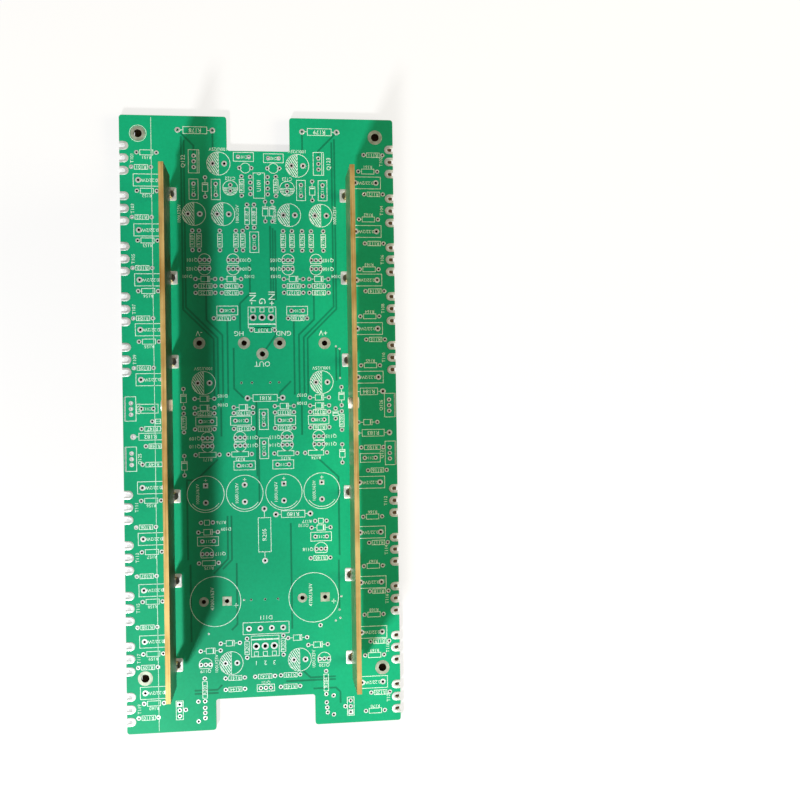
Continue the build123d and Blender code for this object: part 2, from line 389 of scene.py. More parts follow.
def add_node(tree, kind, inputs=None, **settings):
    """Adds a node, sets it up and feeds its inputs with values or with other nodes' outputs."""
    node = tree.nodes.new(kind)
    for name, value in settings.items():
        setattr(node, name, value)
    for name, value in (inputs or {}).items():
        if isinstance(value, bpy.types.NodeSocket):
            tree.links.new(value, node.inputs[name])
        else:
            node.inputs[name].default_value = value
    return node


def new_finish(name):
    """An empty material with its node tree, its shader and its object coordinates."""
    material = bpy.data.materials.new(name)
    material.use_nodes = True
    tree = material.node_tree
    shader = tree.nodes["Principled BSDF"]
    place = add_node(tree, "ShaderNodeTexCoord").outputs["Object"]
    return material, tree, shader, place


def solder_mask(name, dark, light):
    """Cured solder mask: a satin green lacquer, a little uneven in depth and waved over the copper."""
    material, tree, shader, place = new_finish(name)
    cloud = add_node(tree, "ShaderNodeTexNoise", {"Vector": place, "Scale": 1 / (45 * mm), "Detail": 3.0})
    grain = add_node(tree, "ShaderNodeTexNoise", {"Vector": place, "Scale": 1 / (1.2 * mm), "Detail": 2.0})
    depth = add_node(
        tree,
        "ShaderNodeMix",
        {"Factor": 0.3, "A": cloud.outputs["Fac"], "B": grain.outputs["Fac"]},
        data_type="FLOAT",
    )
    ramp = add_node(tree, "ShaderNodeValToRGB", {"Fac": depth.outputs["Result"]})
    ramp.color_ramp.elements[0].position = 0.35
    ramp.color_ramp.elements[0].color = hex_colour(dark)
    ramp.color_ramp.elements[1].position = 0.65
    ramp.color_ramp.elements[1].color = hex_colour(light)
    tree.links.new(ramp.outputs["Color"], shader.inputs["Base Color"])
    bump = add_node(
        tree, "ShaderNodeBump", {"Strength": 0.12, "Distance": 0.05 * mm, "Height": grain.outputs["Fac"]}
    )
    tree.links.new(bump.outputs["Normal"], shader.inputs["Normal"])
    shader.inputs["Roughness"].default_value = 0.34
    shader.inputs["IOR"].default_value = 1.5
    return material


def routed_laminate():
    """Routed glass-epoxy edge: bare cream-green resin with the glass layers as fine level lines."""
    material, tree, shader, place = new_finish("routed_glass_epoxy")
    layers = add_node(
        tree,
        "ShaderNodeTexWave",
        {"Vector": place, "Scale": 1 / (1.3 * mm), "Distortion": 1.5, "Detail": 2.0},
        bands_direction="Z",
    )
    ramp = add_node(tree, "ShaderNodeValToRGB", {"Fac": layers.outputs["Fac"]})
    ramp.color_ramp.elements[0].color = hex_colour("#5f6a3e")
    ramp.color_ramp.elements[1].color = hex_colour("#8f9462")
    tree.links.new(ramp.outputs["Color"], shader.inputs["Base Color"])
    shader.inputs["Roughness"].default_value = 0.75
    return material


panel.data.materials.append(solder_mask("green_solder_mask", "#069a6b", "#09a977"))
panel.data.materials.append(routed_laminate())
for face in panel.data.polygons:
    face.material_index = 0 if abs(face.normal.z) > 0.5 else 1
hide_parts("board")
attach(panel, "root")

# Tracks: broad copper under the mask, parted by narrow etched gaps that show through as darker green lines.
# The mask over each gap is a stroke of one width, as thin as a coat of lacquer.
gap_rise = 0.012
gap_width = 0.8


def stroke(points, width, closed=False):
    """Outline of a line of one width through the given points, with mitred corners."""
    count = len(points)
    left, right = [], []
    for number, (x, y) in enumerate(points):
        ways = []
        for start, end in ((number - 1, number), (number, number + 1)):
            if closed or (start >= 0 and end < count):
                (x0, y0), (x1, y1) = points[start % count], points[end % count]
                length = math.hypot(x1 - x0, y1 - y0)
                ways.append(((y0 - y1) / length, (x1 - x0) / length))
        before, after = ways[0], ways[-1]
        reach = width / 2 / (1 + before[0] * after[0] + before[1] * after[1])
        over = ((before[0] + after[0]) * reach, (before[1] + after[1]) * reach)
        left.append((x + over[0], y + over[1]))
        right.append((x - over[0], y - over[1]))
    return [left, right] if closed else [left + right[::-1]]


def join(pieces, name):
    """Joins meshes into one piece at the origin."""
    select_only(*pieces)
    bpy.ops.object.join()
    pieces[0].name = name
    pieces[0].data.name = name
    return pieces[0]


def printed(name, shapes, low, high):
    """A thin layer of shapes between two heights, each filled on its own, as one piece."""
    pieces = [flat_curve(name, loops, high - low) for loops in shapes]
    select_only(*pieces)
    bpy.ops.object.convert(target="MESH")
    layer = join(pieces, name)
    raise_to(layer, (low + high) / 2)
    return layer


def mirrored(paths):
    """The same paths on the other side of the board."""
    return [[(-x, y) for x, y in path] for path in paths]


# Paths of the gaps that show on the printed side.
bundle = [
    [(-33.6, 126.0), (-33.6, 50.0), (-20.6, 37.0), (-20.6, 12.0)],
    [(-32.4, 124.5), (-32.4, 51.0), (-18.9, 37.5), (-18.9, 12.0)],
    [(-23.6, 66.0), (-23.6, 45.4), (-16.8, 38.6), (-16.8, 9.0)],
    [(-14.6, 46.0), (-14.6, 12.0)],
]
track_gaps = bundle + mirrored(bundle)
track_gaps += [
    [(-35.0, 128.8), (-28.2, 122.0), (-28.2, 117.6)],
    [(34.8, 129.0), (26.5, 120.6), (26.5, 117.3)],
    [(-19.9, 128.8), (-19.9, 120.0)],
    [(19.4, 129.0), (19.4, 119.5)],
    [(4.7, 87.0), (4.7, 52.0)],
    [(5.8, 86.0), (5.8, 53.0)],
    [(6.9, 85.0), (6.9, 54.0)],
    [(-4.5, 70.0), (-4.5, 57.0), (-9.0, 52.5), (-9.0, 38.0)],
    [(-12.0, 33.0), (-12.0, 15.0), (-7.8, 10.8)],
    [(1.2, 31.0), (6.6, 38.6), (6.6, 41.0)],
    [(13.0, 18.0), (8.0, 13.0), (8.0, 11.5)],
    [(-17.8, 10.0), (-17.8, -6.0)],
    [(17.6, 8.0), (17.6, -6.0)],
    [(-2.4, 9.5), (-2.4, -24.0)],
    [(-1.6, -6.0), (-1.6, -36.0)],
    [(33.2, 33.3), (33.2, 18.0)],
    [(34.8, 32.2), (34.8, 19.2)],
    [(-19.5, -16.0), (-29.0, -25.0), (-33.0, -25.0), (-33.0, -60.0)],
    [(24.0, -16.0), (33.5, -25.0), (33.5, -60.0)],
    [(-15.7, -41.0), (-15.7, -60.0), (-22.0, -66.4)],
    [(-14.0, -41.0), (-14.0, -60.5), (-18.0, -64.5)],
    [(-12.0, -62.0), (-12.0, -89.0), (-14.5, -91.5)],
    [(-32.0, -62.0), (-32.0, -96.0)],
    [(12.0, -45.0), (12.0, -92.0)],
    [(33.1, -84.3), (33.1, -62.0)],
    [(-31.0, -117.4), (-21.0, -117.4), (-19.0, -115.4)],
    [(-31.0, -118.8), (-20.6, -118.8)],
    [(16.5, -110.7), (19.8, -114.0), (31.0, -114.0)],
    [(9.0, -115.2), (31.0, -115.2)],
    [(21.0, -119.0), (31.0, -119.0), (33.0, -121.0), (33.0, -126.0)],
]
gap_strokes = [stroke(path, gap_width) for path in track_gaps]
gaps = printed("track_gaps", gap_strokes, panel_top, panel_top + gap_rise)
gaps.data.materials.append(solder_mask("solder_mask_over_bare_laminate", "#05734f", "#07805a"))
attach(gaps, "root")

# Plated lands: hot-air levelled tin over copper, a flat ring on both faces and a barrel through the hole.
# One of each kind is made, with the edges of its upper ring eased, and copied to every lead of that kind.
# The large lands have a darker, greener tin than the others.
land_rise = 0.07
land_rounding = 0.02
sharp_angle = math.radians(40)
smooth_angle = math.radians(35)
darker_tin_kinds = ("terminal", "mount", "can", "square_can")


def soften(piece, width, segments=2):
    """Rounds over the sharp edges of a mesh and smooths its shading."""
    select_only(piece)
    bevel = piece.modifiers.new("rounding", "BEVEL")
    bevel.width = width * mm
    bevel.segments = segments
    bevel.limit_method = "ANGLE"
    bevel.angle_limit = sharp_angle
    bpy.ops.object.modifier_apply(modifier="rounding")
    bpy.ops.object.shade_smooth_by_angle(angle=smooth_angle)


def repeat(master, places, name):
    """Copies a master to every place on the board, joins the copies and takes the master away."""
    copies = []
    for x, y in places:
        copy = master.copy()
        copy.data = master.data.copy()
        copy.location = (x * mm, y * mm, 0.0)
        bpy.context.collection.objects.link(copy)
        copies.append(copy)
    bpy.data.objects.remove(master)
    select_only(*copies)
    bpy.ops.object.transform_apply(location=True, rotation=False, scale=False)
    return join(copies, name)


def levelled_tin(name, dark, light, metal):
    """Hot-air levelled tin: pale metal, softly blurred, with faint dull patches where it has oxidised."""
    material, tree, shader, place = new_finish(name)
    patch = add_node(tree, "ShaderNodeTexNoise", {"Vector": place, "Scale": 1 / (2.5 * mm), "Detail": 4.0})
    ramp = add_node(tree, "ShaderNodeValToRGB", {"Fac": patch.outputs["Fac"]})
    ramp.color_ramp.elements[0].position = 0.35
    ramp.color_ramp.elements[0].color = hex_colour(dark)
    ramp.color_ramp.elements[1].position = 0.62
    ramp.color_ramp.elements[1].color = hex_colour(light)
    tree.links.new(ramp.outputs["Color"], shader.inputs["Base Color"])
    dull = add_node(
        tree, "ShaderNodeMapRange", {"Value": patch.outputs["Fac"], "To Min": 0.58, "To Max": 0.42}
    )
    tree.links.new(dull.outputs["Result"], shader.inputs["Roughness"])
    bump = add_node(
        tree, "ShaderNodeBump", {"Strength": 0.35, "Distance": 0.05 * mm, "Height": patch.outputs["Fac"]}
    )
    tree.links.new(bump.outputs["Normal"], shader.inputs["Normal"])
    shader.inputs["Metallic"].default_value = metal
    return material


tin = levelled_tin("levelled_tin", "#ccd3ce", "#f1f5f1", 0.7)
darker_green_tin = levelled_tin("darker_green_tin", "#9ea793", "#c9d2bd", 0.7)
# The barrels' tin is painted dark brown as painted shade, for the shade deep inside the holes.
shaded_barrel_tin = levelled_tin("barrel_tin_painted_dark_as_shade", "#3a2c22", "#5c4738", 0.7)


def plated_land(outline, drill, sides, ring_tin):
    """One land: a ring on each face and the barrel between them."""
    ring = [outline, circle_loop(0.0, 0.0, drill / 2, sides)]
    barrel = [circle_loop(0.0, 0.0, drill / 2 + plating, sides), circle_loop(0.0, 0.0, drill / 2, sides)]
    upper = cut_plate("upper_ring", ring, panel_top, panel_top + land_rise)
    soften(upper, land_rounding, 1)
    tube = cut_plate("barrel", barrel, panel_bottom, panel_top)
    lower = cut_plate("lower_ring", ring, panel_bottom - land_rise, panel_bottom)
    for piece, finish in ((upper, ring_tin), (tube, shaded_barrel_tin), (lower, ring_tin)):
        piece.data.materials.append(finish)
    return join([upper, tube, lower], "land")


for kind, places in land_places.items():
    size, drill, sides = land_sizes[kind]
    if kind.startswith("square"):
        outer = box_loop(-size / 2, -size / 2, size / 2, size / 2)
    else:
        outer = circle_loop(0.0, 0.0, size / 2, 2 * sides)
    ring_tin = darker_green_tin if kind in darker_tin_kinds else tin
    lands = repeat(plated_land(outer, drill, sides, ring_tin), places, kind + "_lands")
    if kind == "mount":
        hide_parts("mounting_lands")
    if kind == "terminal":
        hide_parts("wire_terminal_lands")
    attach(lands, "root")

# Edge lands: tinned copper horseshoes round the slots that take the leads of the power transistors.
# Each is plated through: a horseshoe on both faces, joined by a thin lining of the slot.
# One is made for each long edge and copied down both banks of slots.
edge_land_width = 3.8
edge_land_depth = 3.9
for side, node in ((-1, "left_edge_lands"), (1, "right_edge_lands")):
    edge = side * half_width
    outer = slot_loop(edge, 0.0, -side, edge_land_width, edge_land_depth)
    inner = slot_loop(edge, 0.0, -side, slot_width, slot_depth)
    lining = slot_loop(edge, 0.0, -side, slot_width - 2 * plating, slot_depth - plating)
    upper = cut_plate("upper_horseshoe", [outer + inner[::-1]], panel_top, panel_top + land_rise)
    soften(upper, land_rounding)
    lower = cut_plate("lower_horseshoe", [outer + inner[::-1]], panel_bottom - land_rise, panel_bottom)
    wall = cut_plate("slot_lining", [inner + lining[::-1]], panel_bottom, panel_top)
    horseshoe = join([upper, lower, wall], "horseshoe")
    places = [(0.0, y) for y in slot_middles]
    lands = repeat(horseshoe, places, node.replace("edge_lands", "horseshoe_lands"))
    lands.data.materials.append(tin)
    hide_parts(node)
    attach(lands, "root")

# Bar lands: broad tinned copper lands round the slots that the tabs of the bus bars pass through.
# For each bar one is made, with its edges eased, and copied to the six slots.
bar_land = (6.2, 5.9)
bar_land_rounding = 0.6
bar_land_corners = [(-1, -1, south, east), (1, -1, east, north), (1, 1, north, west), (-1, 1, west, south)]
for side, node in ((-1, "left_bar_lands"), (1, "right_bar_lands")):
    outer = []
    for x, y, before, after in bar_land_corners:
        outer += corner_loop(x * bar_land[0] / 2, y * bar_land[1] / 2, before, after, bar_land_rounding)
    loops = [outer, long_loop(0.0, 0.0, *tab_slot)]
    broad = cut_plate("broad_land", loops, panel_top, panel_top + land_rise)
    soften(broad, land_rounding)
    places = [(side * tab_plane, y) for y in tab_rows]
    lands = repeat(broad, places, node.replace("bar_lands", "tab_lands"))
    lands.data.materials.append(tin)
    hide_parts(node)
    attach(lands, "root")

# Legend: white ink screen-printed on the mask, as outlines and reference marks of the parts that go on it.
# Lines are drawn as strokes of one width; the marks are plain running numbers and round values.
ink_rise = 0.045
ink_width = 0.25
border_ink = 0.2
fine_hatch_ink = 0.3
hatch_ink = 0.36
band_ink = 0.5
tab_ink = 0.6
finest_text = 1.3
fine_text = 1.35
small_text = 1.45
medium_text = 1.5
plain_text = 1.6
broad_text = 1.8
large_text = 1.9
reading = 180
sideways = 90
numbers_from = 100
ink = []
marks = []
counts = {}


def mark(letter, x, y, size, turn):
    """Adds the next reference mark of a kind."""
    counts[letter] = counts.get(letter, numbers_from) + 1
    marks.append((letter + str(counts[letter]), x, y, size, turn))


def line(points, closed=False, width=ink_width):
    """Adds one printed line."""
    ink.append(stroke(points, width, closed))


def body_box(x, y, half_across, half_along):
    """Adds a printed rectangle about its middle."""
    line(box_loop(x - half_across, y - half_along, x + half_across, y + half_along), True)


def plus_sign(x, y, reach):
    """Adds the sign of a positive lead."""
    line([(x - reach, y), (x + reach, y)])
    line([(x, y - reach), (x, y + reach)])


def arc(x, y, radius, start, end, steps=20):
    """Points of part of a circle, between two angles in degrees."""
    turns = [math.radians(start + (end - start) * number / steps) for number in range(steps + 1)]
    return [(x + radius * math.cos(turn), y + radius * math.sin(turn)) for turn in turns]


def turned(points, upright):
    """Swaps the two directions of points for a part that lies along the board."""
    return [(y, x) for x, y in points] if upright else points


# Body of each two-lead part: distance of its ends inside the leads, and half its height.
body_sizes = {
    "plain": (1.35, 1.0),
    "open": (1.45, 1.1),
    "diode": (2.35, 1.2),
    "film": (-2.05, 1.95),
    "long": (2.4, 1.5),
    "emitter": (-2.1, 2.65),
    "power": (3.9, 2.75),
}
least_body = 2.0
lead_gap = 1.1
band_inset = 0.75
text_share = 0.3
short_part = 6.0
short_label = 6.2
open_label = 2.1
diode_label = (3.6, 1.2)
middle_field = 10.0
outer_column = 20.0
edge_field = 40.0
input_end = 60.0
supply_end = -90.0
for upright, table in ((False, across), (True, along)):
    turn = sideways if upright else reading
    for kind, rows in table.items():
        inset, half = body_sizes[kind]
        for first, second, level in rows:
            start, end = first + inset, second - inset
            if end - start < least_body and inset > 0:
                centre = (first + second) / 2
                start, end = centre - least_body / 2, centre + least_body / 2
            x, y = turned([((start + end) / 2, level)], upright)[0]
            line(turned(box_loop(start, level - half, end, level + half), upright), True)
            if kind in ("diode", "long", "power"):
                line(turned([(first + lead_gap, level), (start, level)], upright))
                line(turned([(end, level), (second - lead_gap, level)], upright))
            if kind == "diode":
                band = end - band_inset
                line(turned([(band, level - half), (band, level + half)], upright), width=band_ink)
                if not upright and middle_field < abs(x) < edge_field and level > supply_end:
                    outward = abs(x) > outer_column and level > input_end
                    label = second + diode_label[0] if (x < 0) != outward else first - diode_label[0]
                    mark("D", label, level + diode_label[1], small_text, turn)
            elif kind == "plain":
                mark("R", x, y, min(plain_text, (end - start) * text_share), turn)
            elif kind == "open" and second - first < short_part:
                mark("R", x - math.copysign(short_label, x), y, small_text, turn)
            elif kind == "open":
                mark("R", x, y + (open_label if x > edge_field else -open_label), small_text, turn)
            elif kind == "film":
                mark("C", x, y, fine_text, turn)
            elif kind == "emitter":
                marks.append(("0.22/2W", x, y, medium_text, turn))
            else:
                mark("R", x, y, large_text, turn)

# Electrolytic capacitors: a circle with its negative half hatched round the lead, and the value beside it.
electrolytic_radius = 5.1
hatch_turn = math.radians(-57)
hatch_pitch = 0.84
hatch_lines = 6
lead_room = 1.3
least_run = 0.4
lead_along = -electrolytic_pitch / 2 * math.cos(hatch_turn)
lead_offset = electrolytic_pitch / 2 * math.sin(hatch_turn)
value_places = {"above": (0.0, 6.4, reading), "left": (-6.3, 0.0, sideways), "right": (6.3, 0.0, sideways)}


def hatch_point(x, y, distance, offset):
    """A point of a hatch line, by its distance along the line and the line's offset from the middle."""
    return (
        x + distance * math.cos(hatch_turn) - offset * math.sin(hatch_turn),
        y + distance * math.sin(hatch_turn) + offset * math.cos(hatch_turn),
    )


for x, y, beside in electrolytics:
    line(circle_loop(x, y, electrolytic_radius, 40), True)
    line([(x, y - electrolytic_radius), (x, y + electrolytic_radius)])
    for step in range(-hatch_lines, hatch_lines):
        offset = (step + 0.5) * hatch_pitch
        reach = math.sqrt(electrolytic_radius**2 - offset**2)
        start, end = -reach, min(reach, offset * math.tan(hatch_turn))
        runs = [(start, end)]
        if abs(offset - lead_offset) < lead_room:
            room_left = math.sqrt(lead_room**2 - (offset - lead_offset) ** 2)
            runs = [(start, lead_along - room_left), (lead_along + room_left, end)]
        for run in runs:
            if run[1] - run[0] > least_run:
                line([hatch_point(x, y, distance, offset) for distance in run], width=hatch_ink)
    shift, lift, turn = value_places[beside]
    marks.append(("100U/25V", x + shift, y + lift, small_text, turn))

# The small ones have level hatching, with room for the lead in all but the last line.
small_radius = 3.25
small_reach = 3.2
small_hatch_lines = 4
small_hatch_start = 0.55
small_hatch_pitch = 0.7
small_lead_room = 1.2
small_label = 4.3
for x, y in small_electrolytics:
    line(circle_loop(x, y, small_radius, 28), True)
    line([(x - small_reach, y), (x + small_reach, y)])
    for step in range(small_hatch_lines):
        level = y - small_hatch_start - small_hatch_pitch * step
        reach = math.sqrt(small_reach**2 - (level - y) ** 2)
        runs = [(-reach, -small_lead_room), (small_lead_room, reach)]
        if step == small_hatch_lines - 1:
            runs = [(-reach, reach)]
        for start, end in runs:
            line([(x + start, level), (x + end, level)], width=fine_hatch_ink)
    mark("C", x, y + small_label, medium_text, reading)

# Bead, filter and supply capacitors: circles, with a plus sign beside the positive lead of the large ones.
bead_radius = 2.2
filter_radius = 8.0
filter_stripe = (7.0, 215, 325)
filter_plus = 6.1
filter_plus_reach = 0.7
filter_label = 3.4
supply_radius = 11.0
supply_plus = (8.9, 2.0)
supply_plus_reach = 1.0
supply_label = (1.3, 1.2)
for x, y in bead_capacitors:
    line(circle_loop(x, y, bead_radius, 24), True)
for x, y in filter_capacitors:
    line(circle_loop(x, y, filter_radius, 48), True)
    line(arc(x, y, *filter_stripe))
    plus_sign(x, y + filter_plus, filter_plus_reach)
    marks.append(("1000U/63V", x - filter_label, y, small_text, sideways))
for x, y in supply_capacitors:
    line(circle_loop(x, y, supply_radius, 56), True)
    plus_sign(x + supply_plus[0], y - supply_plus[1], supply_plus_reach)
    marks.append(("4700U/63V", x - supply_label[0], y + supply_label[1], plain_text, sideways))

# Transistors and regulators: half-round outlines for the small ones, boxes for those with a tab.
half_round = (-35, 215)
pair_radius = 2.7
pair_label = 5.4
single_radius = 2.9
single_label = (5.8, 2.8)
triple_body = (3.8, 1.5)
triple_label = 2.4
regulator_body = (2.3, 5.1)
regulator_tab = 1.5
regulator_label = 4.6
small_regulator_body = (1.6, 3.8)
driver_depth = 2.6
driver_half_length = 5.3
driver_front_share = 0.8
driver_label_share = 1.35
trio_body = (1.5, 4.1)
for number, (x, y) in enumerate(paired_transistors):
    start, end = [angle + 180 * (number % 2) for angle in half_round]
    line(arc(x, y, pair_radius, start, end), True)
    mark("Q", x + (pair_label if number % 4 > 1 else -pair_label), y, plain_text, reading)
for x, y in single_transistors:
    line(arc(x, y, single_radius, *half_round), True)
    if y > supply_end:
        mark("Q", x - math.copysign(single_label[0], x), y, medium_text, reading)
    else:
        mark("Q", x, y - single_label[1], medium_text, reading)
x, y = triple_transistor
body_box(x, y, *triple_body)
mark("Q", x, y + triple_label, finest_text, reading)
for x, y in regulators[:2]:
    body_box(x, y, *regulator_body)
    line([(x + regulator_tab, y - regulator_body[1]), (x + regulator_tab, y + regulator_body[1])])
    mark("Q", x + math.copysign(regulator_label, x), y, broad_text, sideways)
body_box(*regulators[2], *small_regulator_body)
for x, y in drivers:
    outside = math.copysign(driver_depth, x)
    left, right = sorted((x - outside * driver_front_share, x + outside))
    low, high = y - driver_half_length, y + driver_half_length
    line(box_loop(left, low, right, high), True)
    line([(x + outside, low), (x + outside, high)], width=tab_ink)
    mark("Q", x - outside * driver_label_share, y, medium_text, sideways)
for x, y in corner_trios:
    body_box(x, y, *trio_body)

# Chip, connectors, rectifier and the words at the terminals.
chip_body = (2.5, 5.6)
chip_notch = 0.8
connector_body = (6.1, 4.6)
connector_wall = (5.9, 3.0)
pin_box = 0.9
pin_box_place = 3.3
rectifier_body = (10.1, 2.6)
rectifier_lift = 0.1
rectifier_label = 4.8
body_box(*chip, *chip_body)
line(arc(chip[0], chip[1] + chip_body[1], chip_notch, 180, 360))
mark("U", *chip, broad_text, sideways)
for (x, y), foot in zip(connectors, (1, -1)):
    body_box(x, y, *connector_body)
    wall = y - foot * connector_wall[1]
    line([(x - connector_wall[0], wall), (x + connector_wall[0], wall)], width=tab_ink)
    for lead in (-connector_pitch, 0.0, connector_pitch):
        body_box(x + lead, y + foot * pin_box_place, pin_box, pin_box)
x, y = rectifier
body_box(x, y + rectifier_lift, *rectifier_body)
mark("D", x, y + rectifier_label, large_text, reading)
marks += [
    ("IN-", -3.5, 54.8, 3.0, 270),
    ("G", 0.7, 53.6, 3.0, 270),
    ("IN+", 4.8, 54.8, 3.0, 270),
    ("-V", -26.9, 39.6, 2.4, reading),
    ("HG", -9.6, 39.4, 2.2, reading),
    ("GND", 10.0, 39.4, 2.2, reading),
    ("+V", 27.6, 39.5, 2.4, reading),
    ("OUT", 0.5, 25.9, 2.4, reading),
    ("1", -4.0, -106.4, large_text, reading),
    ("2", 0.0, -106.4, large_text, reading),
    ("3", 3.9, -106.4, large_text, reading),
]

# Border line, the ring of the first mounting hole and the numbers of the power transistors at the edges.
border_place = -46.4
border_end = 134.2
mount_ring = 3.6
edge_label = 54.6
line([(border_place, -border_end), (border_place, border_end)], width=border_ink)
line(circle_loop(*mounting_holes[0], mount_ring, 36), True, border_ink)
for row in slot_rows:
    for side in (-1, 1):
        mark("T", side * edge_label, row - slot_lead_pitch, medium_text, sideways)

# Size of the face for marks of size one.
face_size = 1.38


def lettering(name, items, low, high):
    """Marks in a plain face, made a mesh first and then put in their places."""
    pieces = []
    for text, x, y, size, turn in items:
        letter = bpy.data.curves.new(name, "FONT")
        letter.body = text
        letter.size = size * face_size * mm
        letter.align_x = "CENTER"
        letter.align_y = "CENTER"
        letter.resolution_u = 2
        letter.extrude = (high - low) / 2 * mm
        piece = bpy.data.objects.new(name, letter)
        bpy.context.collection.objects.link(piece)
        pieces.append(piece)
    select_only(*pieces)
    bpy.ops.object.convert(target="MESH")
    for piece, (_, x, y, _, turn) in zip(pieces, items):
        piece.location = (x * mm, y * mm, (low + high) / 2 * mm)
        piece.rotation_euler.z = math.radians(turn)
    bpy.ops.object.transform_apply(location=True, rotation=True, scale=False)
    layer = join(pieces, name)
    weld(layer)
    return layer


def screened_ink():
    """Screen-printed legend ink: matt white, thin enough for a little of the green to come through."""
    material, tree, shader, place = new_finish("screened_white_ink")
    weave = add_node(tree, "ShaderNodeTexNoise", {"Vector": place, "Scale": 1 / (0.8 * mm), "Detail": 2.0})
    ramp = add_node(tree, "ShaderNodeValToRGB", {"Fac": weave.outputs["Fac"]})
    ramp.color_ramp.elements[0].position = 0.3
    ramp.color_ramp.elements[0].color = hex_colour("#b4dfcb")
    ramp.color_ramp.elements[1].position = 0.55
    ramp.color_ramp.elements[1].color = hex_colour("#e2f6ec")
    tree.links.new(ramp.outputs["Color"], shader.inputs["Base Color"])
    shader.inputs["Roughness"].default_value = 0.6
    return material


white_ink = screened_ink()
legend = printed("printed_legend", ink, panel_top, panel_top + ink_rise)
reference_marks = lettering("reference_marks", marks, panel_top, panel_top + ink_rise)
for layer in (legend, reference_marks):
    layer.data.materials.append(white_ink)
    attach(layer, "root")

# Bus bars: flat brass strips on edge, sawn to length, each on six tabs that go through the board.
# The side view is cut as a plate with its lug hole, stood up, and its edges are eased with a file.
bar_thickness = 2.0
bar_top = cad_high.z / mm
bar_bottom = 10.8
bar_easing = 0.12
tab_width = 3.0
lug_place = (8.0, 25.3)
lug_radius = 1.75


def rolled_brass(name, dark, light, metal, roughness):
    """Rolled brass: warm gold with fine streaks along the bar and cloudy brown tarnish from handling."""
    material, tree, shader, place = new_finish(name)
    stretch = (1 / (0.3 * mm), 1 / (30 * mm), 1 / (0.3 * mm))
    drawn = add_node(tree, "ShaderNodeMapping", {"Vector": place, "Scale": stretch}).outputs["Vector"]
    streak = add_node(tree, "ShaderNodeTexNoise", {"Vector": drawn, "Scale": 1.0, "Detail": 3.0})
    cloud = add_node(tree, "ShaderNodeTexNoise", {"Vector": place, "Scale": 1 / (14 * mm), "Detail": 5.0})
    mixed = add_node(
        tree,
        "ShaderNodeMix",
        {"Factor": 0.6, "A": streak.outputs["Fac"], "B": cloud.outputs["Fac"]},
        data_type="FLOAT",
    )
    ramp = add_node(tree, "ShaderNodeValToRGB", {"Fac": mixed.outputs["Result"]})
    ramp.color_ramp.elements[0].position = 0.36
    ramp.color_ramp.elements[0].color = hex_colour(dark)
    ramp.color_ramp.elements[1].position = 0.6
    ramp.color_ramp.elements[1].color = hex_colour(light)
    tree.links.new(ramp.outputs["Color"], shader.inputs["Base Color"])
    bump = add_node(
        tree, "ShaderNodeBump", {"Strength": 0.2, "Distance": 0.05 * mm, "Height": streak.outputs["Fac"]}
    )
    tree.links.new(bump.outputs["Normal"], shader.inputs["Normal"])
    shader.inputs["Metallic"].default_value = metal
    shader.inputs["Roughness"].default_value = roughness
    return material


def stand_up(piece, side):
    """Stands a plate that was drawn flat on edge along the board, in the plane of its tabs."""
    place = side * tab_plane * mm
    piece.matrix_world = Matrix(((0, 0, 1, place), (1, 0, 0, 0), (0, 1, 0, 0), (0, 0, 0, 1)))
    select_only(piece)
    bpy.ops.object.transform_apply(location=True, rotation=True, scale=False)


# Both bars are one tarnished brass, made as a shaded and a lit copy: the left bar's face is painted darker
# as painted shade, for the shadow it mirrors beside it, and the right bar's face paler, as a painted
# reflection of the lit board.
shaded_brass_face = rolled_brass("brass_face_painted_dark_as_shade", "#372d18", "#5c4e2b", 0.85, 0.3)
lit_brass_face = rolled_brass("brass_face_painted_pale_as_reflection", "#7a6d44", "#a89866", 0.85, 0.3)
bar_edge = rolled_brass("sawn_brass_edge", "#b08440", "#eccc84", 0.6, 0.45)
for side, node, bar_face in ((-1, "left_bus_bar", shaded_brass_face), (1, "right_bus_bar", lit_brass_face)):
    profile = [(bar_ends[0], bar_bottom)]
    for row in sorted(tab_rows):
        profile += [(row - tab_width / 2, bar_bottom), (row - tab_width / 2, 0.0)]
        profile += [(row + tab_width / 2, 0.0), (row + tab_width / 2, bar_bottom)]
    profile += [(bar_ends[1], bar_bottom), (bar_ends[1], bar_top), (bar_ends[0], bar_top)]
    loops = [profile, circle_loop(*lug_place, lug_radius, 48)]
    bar = cut_plate(node.replace("bus_bar", "brass_bar"), loops, -bar_thickness / 2, bar_thickness / 2)
    stand_up(bar, side)
    soften(bar, bar_easing)
    bar.data.materials.append(bar_face)
    bar.data.materials.append(bar_edge)
    for face in bar.data.polygons:
        face.material_index = 0 if abs(face.normal.x) > 0.7 else 1
    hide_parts(node)
    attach(bar, "root")

# Lug collars: pale tinned rings pressed round the lug hole on both faces of each bar, as seats for a lug,
# painted brighter than tin as a painted highlight.
# The two rings of a bar are cut flat, their edges are rounded, and the pair is stood up on the bar.
collar_radius = 2.4
collar_rise = 1.2
collar_rounding = 0.25
# Pale tin, painted near-white and made less metallic than the other tin, as a painted highlight that stays
# bright in the bar's shade.
collar_tin_with_painted_highlight = levelled_tin("collar_tin_painted_bright_as_glint", "#ece6d4", "#fdfaf0", 0.3)
for side, name in ((-1, "left_lug_collars"), (1, "right_lug_collars")):
    rings = []
    for low in (bar_thickness / 2, -bar_thickness / 2 - collar_rise):
        loops = [circle_loop(*lug_place, collar_radius, 40), circle_loop(*lug_place, lug_radius, 40)]
        rings.append(cut_plate("ring", loops, low, low + collar_rise))
        soften(rings[-1], collar_rounding, 3)
    collars = join(rings, name)
    stand_up(collars, side)
    collars.data.materials.append(collar_tin_with_painted_highlight)
    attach(collars, "root")


